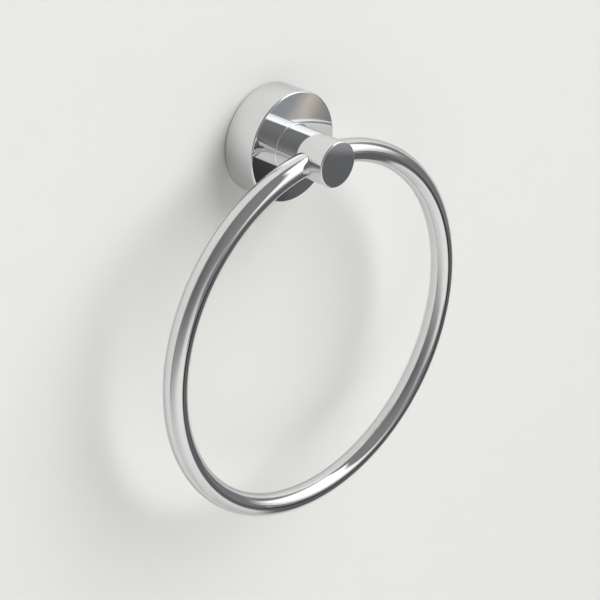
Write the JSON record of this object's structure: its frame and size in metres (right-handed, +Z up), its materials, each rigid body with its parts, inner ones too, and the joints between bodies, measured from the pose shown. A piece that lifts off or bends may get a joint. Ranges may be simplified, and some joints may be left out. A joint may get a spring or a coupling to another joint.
{
  "type": "towel ring",
  "caption": "Polished round towel ring fixed through a plain cylindrical post that stands out of a round wall rose.",
  "frame": {"origin": "centre of the rose, on the plane of the wall", "axes": "+Y into the wall, -Y out along the post, +Z up, +X to the right when facing the wall"},
  "size_m": [0.19, 0.076, 0.2107],
  "materials": {
    "rose_chrome": "polished chrome plate on a zinc casting",
    "ring_chrome": "polished chrome plate on a bent bar",
    "bracket_zinc": "bare zinc, fine turned finish",
    "grub_steel": "plain stainless steel",
    "screw_steel": "bright zinc-plated steel",
    "plug_nylon": "moulded grey nylon"
  },
  "bodies": {
    "root": {"rose_and_post": "rose_chrome", "ring": "ring_chrome", "wall_bracket": "bracket_zinc", "rose_grub_screw": "grub_steel", "ring_grub_screw": "grub_steel", "wall_screw_upper": "screw_steel", "wall_screw_lower": "screw_steel", "wall_plug_upper": "plug_nylon", "wall_plug_lower": "plug_nylon"}
  },
  "joints": []
}
